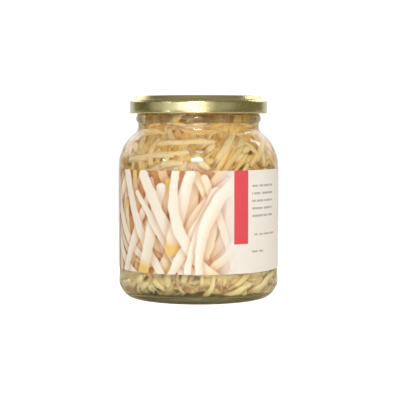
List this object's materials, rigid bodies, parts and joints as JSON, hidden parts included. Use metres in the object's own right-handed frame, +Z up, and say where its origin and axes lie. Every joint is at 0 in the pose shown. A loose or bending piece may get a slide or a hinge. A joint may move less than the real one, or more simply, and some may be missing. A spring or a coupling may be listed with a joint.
{
  "type": "jar of bean sprouts",
  "caption": "Round glass jar of pale bean sprouts in amber brine, with a gold twist-off lid and a wrap-around paper label.",
  "frame": {"origin": "centre of the base, on the surface that the jar stands on", "axes": "+Z up through the lid, -Y towards the front of the label"},
  "size_m": [0.0798, 0.0798, 0.1001],
  "materials": {
    "glass": "clear polished soda-lime glass",
    "gold_lacquer": "satin gold lacquer on tinplate",
    "sealing_compound": "soft pale sealing compound",
    "paper": "smooth printed paper, slight gloss",
    "brine": "clear amber liquid",
    "sprout": "wet translucent stems and seed leaves"
  },
  "bodies": {
    "jar": {"glass_jar": "glass", "label": "paper", "brine": "brine", "sprout_tangle": "sprout", "sprout_01": "sprout", "sprout_02": "sprout", "sprout_03": "sprout", "sprout_04": "sprout", "sprout_05": "sprout", "sprout_06": "sprout", "sprout_07": "sprout", "sprout_08": "sprout", "sprout_09": "sprout", "sprout_10": "sprout", "sprout_11": "sprout", "sprout_12": "sprout", "sprout_13": "sprout", "sprout_14": "sprout", "sprout_15": "sprout", "sprout_16": "sprout", "sprout_17": "sprout", "sprout_18": "sprout", "sprout_19": "sprout", "sprout_20": "sprout", "sprout_21": "sprout", "sprout_22": "sprout", "sprout_23": "sprout", "sprout_24": "sprout", "sprout_25": "sprout", "sprout_26": "sprout", "sprout_27": "sprout", "sprout_28": "sprout", "sprout_29": "sprout", "sprout_30": "sprout", "sprout_31": "sprout", "sprout_32": "sprout", "sprout_33": "sprout", "sprout_34": "sprout", "sprout_35": "sprout", "sprout_36": "sprout", "sprout_37": "sprout", "sprout_38": "sprout", "sprout_39": "sprout", "sprout_40": "sprout", "sprout_41": "sprout", "sprout_42": "sprout", "sprout_43": "sprout", "sprout_44": "sprout", "sprout_45": "sprout", "floor_sprout_01": "sprout", "floor_sprout_02": "sprout", "floor_sprout_03": "sprout", "floor_sprout_04": "sprout", "floor_sprout_05": "sprout", "floor_sprout_06": "sprout", "floor_sprout_07": "sprout", "floor_sprout_08": "sprout"},
    "liner": {"lid_liner": "sealing_compound"},
    "lid": {"lid": "gold_lacquer"}
  },
  "joints": [
    {"name": "lid_rise", "type": "slide", "parent": "jar", "child": "liner", "axis": [0, 0, 1], "range_m": [0, 0.0016]},
    {"name": "lid_turn", "type": "hinge", "parent": "liner", "child": "lid", "pos_m": [0, 0, 0.096], "axis": [0, 0, 1], "range_deg": [0, 60]}
  ],
  "couplings": [
    {"joint": "lid_rise", "follows": "lid_turn", "m_per_rad": 0.001528}
  ]
}
